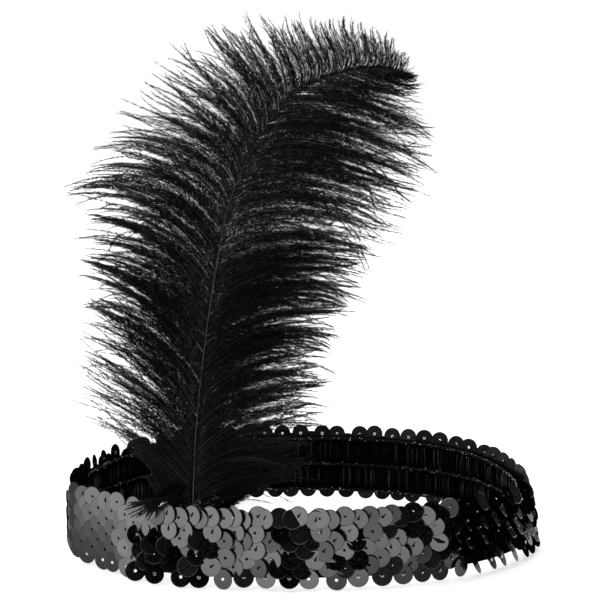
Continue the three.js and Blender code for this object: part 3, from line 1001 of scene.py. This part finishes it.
def chain_stitches(material):
    """Three lines of chain stitch: one at each edge of the knit and one between the ribs."""
    turn = circle(CHAIN_STEPS)
    angle = even_angles(CHAIN_LOOPS, RIB_FACE)
    outward, onward = band_axes(angle)
    long_way = CHAIN_LENGTH * np.cos(turn)[:, None] * onward[:, None]
    wide_way = CHAIN_WIDTH * (np.sin(turn) * (1 - CHAIN_POINT * np.cos(turn)))[:, None] * UP
    lift = -CHAIN_LIFT * np.cos(turn)[:, None] * outward[:, None]
    lines = []
    for line in STITCH_LINES:
        height = knit_height(angle, line) + rng.normal(0, CHAIN_STRAY, CHAIN_LOOPS)
        centre = band_point(angle, GROOVE_FACE + CHAIN_DEPTH, height)
        lines.append(centre[:, None] + long_way + wide_way + lift)
    lines = np.concatenate(lines)
    loops = tubes(lines, CHAIN_YARN, CHAIN_SIDES, closed=True, guide=unit(lines * [-1, -1, 0]))
    return make_mesh("chain_stitches", loops, material)


# Plume

def points_at(place, marks, line):
    """Points at places along a line whose own points have marks."""
    return np.stack([np.interp(place, marks, line[:, k]) for k in range(3)], -1)


def shaft_line():
    """Points and directions at equal steps along the shaft's curve."""
    angle = np.radians(PLUME_ANGLE)
    outward, _ = band_axes(angle, RIB_FACE)
    foot = band_point(angle, RIB_FACE, QUILL_FOOT) - outward * (QUILL_RADIUS + PIECE_GAP)
    knots = foot + SHAFT_TABLE * SHAFT_SIZE
    knots = np.vstack([2 * knots[0] - knots[1], knots, 2 * knots[-1] - knots[-2]])
    t = np.linspace(0, 1, KNOT_STEPS, endpoint=False)[:, None]
    pieces = []
    for a, b, c, d in zip(knots, knots[1:], knots[2:], knots[3:]):
        curve = 2 * b + (c - a) * t + (2 * a - 5 * b + 4 * c - d) * t ** 2 + (3 * b - a - 3 * c + d) * t ** 3
        pieces.append(curve / 2)
    line = np.vstack([*pieces, knots[-2:-1]])
    run = np.r_[0, np.cumsum(np.linalg.norm(np.diff(line, axis=0), axis=1))]
    line = points_at(np.linspace(0, run[-1], SHAFT_STEPS), run, line)
    return line, unit(np.gradient(line, axis=0))


def picture_place(across, down, depth):
    """Points at a depth, as world y, that show at places in the picture."""
    eye = camera_place()
    pitch, yaw = np.radians([VIEW_PITCH, VIEW_YAW])
    right = np.array([math.cos(yaw), -math.sin(yaw), 0])
    forward = np.array([math.sin(yaw) * math.cos(pitch), math.cos(yaw) * math.cos(pitch), -math.sin(pitch)])
    upward = np.cross(right, forward)
    middle = PICTURE_SIDE / 2
    ray = forward * PICTURE_SIDE * LENS / SENSOR
    ray = ray + np.outer(across - middle, right) + np.outer(middle - down, upward)
    return eye + ray * ((depth - eye[1]) / ray[:, 1])[:, None]


def turned(vectors, angle):
    """Vectors of the picture's plane, turned in it."""
    cos, sin = np.cos(angle), np.sin(angle)
    x, y, z = vectors.T
    return np.stack([x * cos - z * sin, y, x * sin + z * cos], -1)


def scatter(spreads, lock):
    """Chance that the barbs of a lock share, with a barb's own; spreads has one of each."""
    shared = rng.normal(0, spreads[0], lock[-1] + 1)[lock]
    return shared + rng.normal(0, spreads[1], len(lock))


def curved_barbs(sign, share, shaft, ahead, lock, stray):
    """Centre lines of the barbs on one side, from the shaft to the places of their tips."""
    chart = LEFT_TIPS if sign < 0 else RIGHT_TIPS
    marks = np.linspace(0, 1, SHAFT_STEPS)
    root = points_at(share, marks, shaft)
    along = unit(points_at(share, marks, ahead))
    side = sign * unit(np.cross(DEEP, along))
    out = np.cross(along, side) * sign
    tip = picture_place(table(chart, share, 1), table(chart, share, 2), root[:, 1]) - root
    shift = scatter(SHIFT_SPREADS, lock)
    shift = np.radians(np.where(stray, rng.normal(0, STRAY_SHIFT, BARBS), shift))
    growth = np.minimum(1.0 + scatter(GROWTH_SPREADS, lock), MOST_GROWTH)
    growth = growth * np.where(stray, rng.uniform(*STRAY_GROWTH, BARBS), 1)
    far = tip * growth[:, None]
    chord = np.linalg.norm(far, axis=1)[:, None] * BARB_BEND
    launch = np.radians(table(chart, share, 4) + rng.normal(0, LAUNCH_SPREAD, BARBS))[:, None]
    finish = np.radians(table(chart, share, 3) + scatter(FINISH_SPREADS, lock))
    leave = along * np.cos(launch) + side * np.sin(launch)
    arrive = np.stack([np.cos(finish), 0 * finish, np.sin(finish)], -1)

    fan = scatter(FAN_SPREADS, lock)
    fan = np.where(stray, rng.normal(0, STRAY_FAN, BARBS), fan)
    fan = np.where(share < FORWARD_UNTIL, np.abs(fan), fan)
    fan = np.clip(fan, *FAN_LIMITS)
    inward = INWARD_TURN * (1 - smooth(*INWARD_SPAN, share)) * (sign < 0)
    lines = []
    for t in ALONG:
        bent = leave * chord * 3 * (1 - t) ** 2 * t
        bent = bent + (far - arrive * chord) * 3 * (1 - t) * t * t + far * t ** 3
        bent = turned(bent, shift * t ** LATE)
        turn = np.radians(inward + fan * t ** LATE)[:, None]
        apart = (bent * side).sum(1)[:, None]
        lines.append(root + bent + apart * (side * (np.cos(turn) - 1) + out * np.sin(turn)))
    return np.stack(lines, 1)


def barb_lines(sign, shaft, ahead):
    """Centre lines of the barbs on one side, gathered in locks, their lengths and their roots' places."""
    number = np.arange(BARBS)
    share = FIRST_BARB + (1 - FIRST_BARB) * (number + rng.uniform(*ROOT_RANGE, BARBS)) / BARBS
    locks = round(BARBS / LOCK_BARBS)
    cuts = np.arange(1, locks) * BARBS / locks + rng.uniform(-LOCK_STRAY, LOCK_STRAY, locks - 1)
    lock = np.searchsorted(cuts, number, side="right")
    stray = rng.random(BARBS) < STRAYS
    lines = curved_barbs(sign, share, shaft, ahead, lock, stray)

    lines[..., 1] -= FRONT_LIFT * PAINTED_SHEEN_BARBS[:, None] * table(BARB_LIFT, ALONG, 1)
    onset = rng.uniform(*LOCK_ONSET, locks)[lock][:, None]
    pull = (LOCK_PULL * smooth(onset, 1.0, ALONG))[:, :, None]
    for one in range(locks):
        own = (lock == one) & ~stray
        if own.any():
            lines[own] += (lines[own].mean(0) - lines[own]) * pull[own]
    wave = rng.normal(0, WAVE, (BARBS, 3))
    phase = rng.uniform(*WAVE_STARTS, BARBS)[:, None]
    lines += wave[:, None] * (np.sin(phase + WAVE_RATE * ALONG) * ALONG)[:, :, None]
    return lines, np.linalg.norm(np.diff(lines, axis=1), axis=2).sum(1), share


def wisp_lines():
    """A few loose barbs that hang forward over the rim beside the quill."""
    ends = rng.choice(WISP_ENDS, WISPS) + rng.normal(0, WISP_END_SPREAD, WISPS)
    drops = rng.uniform(*WISP_DROP, WISPS)
    lines = []
    for end, drop in zip(ends, drops):
        first = rng.uniform(max(WISP_FIRST[0], end + WISP_WAY), WISP_FIRST[1])
        marks = [first, first - WISP_GONE[0], first - WISP_GONE[1], end]
        angle = np.radians(np.interp(ALONG, WISP_MARKS, marks))
        inset = np.interp(ALONG, WISP_MARKS, WISP_INSETS) * MM + rng.normal(0, WISP_INSET_SPREAD)
        above = np.interp(ALONG, WISP_MARKS, [*WISP_HEIGHTS, -drop]) * MM
        above = above + rng.normal(0, WISP_HEIGHT_SPREAD)
        lines.append(band_point(angle, inset, upper_edge(angle) + above))
    lines = np.stack(lines)
    lines[:, 1:-1] = (lines[:, :-2] + 2 * lines[:, 1:-1] + lines[:, 2:]) / 4
    return lines


def barbule_blades(lines, length, density):
    """The fine branches of the barbs: one slim triangle each, swept towards the barb's tip."""
    number = np.maximum(BARBULE_LEAST, (length / BARBULE_GAP * density).astype(int)) * 2
    barb = np.repeat(np.arange(len(lines)), number)
    total = len(barb)
    t = BARBULE_START + BARBULE_SPAN * rng.random(total) ** BARBULE_CROWDING
    place = t * (BARB_STEPS - 1)
    low = place.astype(int)
    part = (place - low)[:, None]
    start = lines[barb, low] * (1 - part) + lines[barb, low + 1] * part
    ahead = unit(lines[barb, low + 1] - lines[barb, low])
    side = unit(np.cross(ahead, DEEP)) * rng.choice([-1, 1], total)[:, None]
    out = np.cross(ahead, side)
    roll = rng.normal(0, BARBULE_ROLL, total)[:, None]
    sweep = np.radians(table(BARBULE_SWEEP, t, 1) + rng.normal(0, BARBULE_SWEEP_SPREAD, total))[:, None]
    way = ahead * np.cos(sweep) + (side * np.cos(roll) + out * np.sin(roll)) * np.sin(sweep)
    full = table(BARBULE_LENGTHS, t, 1) * MM * np.clip(length[barb] / FULL_LENGTH, SHORT_SHARE, 1)
    full = full * rng.uniform(*BARBULE_RANGE, total)
    breadth = unit(np.cross(way, rng.normal(0, 1, (total, 3)))) * BARBULE_HALF_WIDTH
    tip = start + way * full[:, None] - UP * (BARBULE_DROOP * full ** 2)[:, None]
    blades = np.stack([start - breadth, start + breadth, tip], 1).reshape(-1, 3)
    return blades, np.arange(len(blades)).reshape(-1, 3)


def plume_shaft(shaft, quill):
    marks = shaft[::SHAFT_RING_EVERY]
    at = np.linspace(0, 1, len(marks))
    stem = tubes(marks[None], table(SHAFT_RADII, at, 1) * MM, SHAFT_SIDES, guide=ACROSS)
    # The pale tone paints a highlight down the shaft, fading towards the tip
    tones = {"pale": np.repeat(table(SHAFT_PAINTED_HIGHLIGHT, at, 1), SHAFT_SIDES)}
    return make_mesh("plume_shaft", stem, quill, tones=tones)


def loose_wisps(feather):
    lines = wisp_lines()
    stems = tubes(lines, np.linspace(*WISP_RADII, BARB_STEPS) * MM, BARB_SIDES, guide=DEEP)
    blades = barbule_blades(lines, np.full(WISPS, WISP_LENGTH), np.full(WISPS, WISP_DENSITY))
    return make_mesh("loose_wisps", joined([stems, blades]), feather)


def plume_side(sign, name, shaft, ahead, feather, stems):
    """The barbs on one side of the shaft, and their barbules in a lower and an upper piece."""
    lines, reach, share = barb_lines(sign, shaft, ahead)
    density = table(DENSITY_TABLE, share, 1 if sign < 0 else 2)
    radii = table(BARB_RADII, ALONG, 1) * MM * np.where(PAINTED_SHEEN_BARBS, PAINTED_SHEEN_BARB_THIN, 1.0)[:, None]
    # Painted sheen on the front barbs and on the low barbs right of the shaft: lighter colour and more gloss
    low = table(LOW_PAINTED_SHEEN, share, 1) * (sign > 0)
    painted_sheen_and_gloss = rng.uniform(*PAINTED_SHEEN_RANGE, BARBS)
    painted_sheen_and_gloss = np.where(PAINTED_SHEEN_BARBS, painted_sheen_and_gloss, (PLAIN_PAINTED_SHEEN + low) * rng.random(BARBS) ** 2)
    painted_sheen_and_gloss = np.repeat(painted_sheen_and_gloss[:, None] * table(BARB_PAINTED_SHEEN, ALONG, 1), BARB_SIDES)
    barbs = tubes(lines, radii, BARB_SIDES, guide=DEEP)
    make_mesh(name + "_barbs", barbs, stems, tones={"painted_sheen_and_gloss": painted_sheen_and_gloss})
    for part, own in (("lower", slice(0, BARBS // 2)), ("upper", slice(BARBS // 2, BARBS))):
        blades = barbule_blades(lines[own], reach[own], density[own])
        make_mesh(f"{name}_{part}_barbules", blades, feather, smooth_faces=False)


def plume(feather, stems, quill):
    shaft, ahead = shaft_line()
    stem = plume_shaft(shaft, quill)
    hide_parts("plume")
    loose_wisps(feather)
    plume_side(-1, "left", shaft, ahead, feather, stems)
    plume_side(1, "right", shaft, ahead, feather, stems)


# The stage

def studio():
    """A white studio that is dark on one side."""
    world = bpy.data.worlds.new("studio")
    bpy.context.scene.world = world
    world.use_nodes = True
    tree = world.node_tree
    inputs = tree.nodes["Background"].inputs
    inputs["Strength"].default_value = 1.15
    place = add_node(tree, "ShaderNodeTexCoord")
    dot = add_node(tree, "ShaderNodeVectorMath", operation="DOT_PRODUCT")
    dot.inputs[1].default_value = DARK_SIDE
    tree.links.new(place.outputs["Generated"], dot.inputs[0])
    lifted = combine(tree, "ADD", dot.outputs["Value"], 0.5)
    ramp(tree, lifted.outputs["Value"], [(0.32, 1.0), (0.63, 0.03)], inputs["Color"])


def floor():
    """A pale floor that glows a little, so that the shadow on it stays faint."""
    material, tree, inputs = new_material("pale_floor", (0.8, 0.8, 0.8), 0.8)
    ramp(tree, noise(tree, 3.0, 4.0), [(0.3, 0.79), (0.7, 0.82)], inputs["Base Color"])
    inputs["Emission Color"].default_value = (1, 1, 1, 1)
    inputs["Emission Strength"].default_value = 0.55
    bpy.ops.mesh.primitive_circle_add(vertices=64, radius=40, fill_type="NGON", location=(0, 0, 0))
    piece = bpy.context.object
    piece.name = "floor"
    piece.data.materials.append(material)


def sun_light(way, spread, strength):
    """A soft light from far off; spread is the angle it covers, in degrees."""
    data = bpy.data.lights.new("soft_key", "SUN")
    data.angle = np.radians(spread)
    data.energy = strength
    light = bpy.data.objects.new("soft_key", data)
    light.rotation_mode = "QUATERNION"
    light.rotation_quaternion = Vector(way).to_track_quat("-Z", "Y")
    bpy.context.scene.collection.objects.link(light)


def camera():
    """The photograph's view: a long lens, 12 degrees above the middle of the band."""
    pitch, yaw = np.radians([VIEW_PITCH, VIEW_YAW])
    data = bpy.data.cameras.new("camera")
    data.sensor_width = SENSOR
    data.lens = LENS
    data.clip_start = 0.01
    cam = bpy.data.objects.new("camera", data)
    cam.location = camera_place()
    cam.rotation_euler = (math.pi / 2 - pitch, 0, -yaw)
    bpy.context.scene.collection.objects.link(cam)
    bpy.context.scene.camera = cam


camera()
studio()
floor()
sun_light(way=(0.35, 0.1, -1), spread=70, strength=1.3)
bpy.context.scene.view_settings.view_transform = "Standard"

thread = thread_material()
places = sequin_places()
sequin_piece = sequins(places, sequin_material(), backing_material())
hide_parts("sequin_sleeve")
sequin_threads(places, thread)
thread_glints(places, glint_material())
ground = knit_ground(knit_material())
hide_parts("elastic_band")
floats = knit_floats(yarn_material())
chains = chain_stitches(thread)

plume(feather_material(), barb_material(), quill_material())
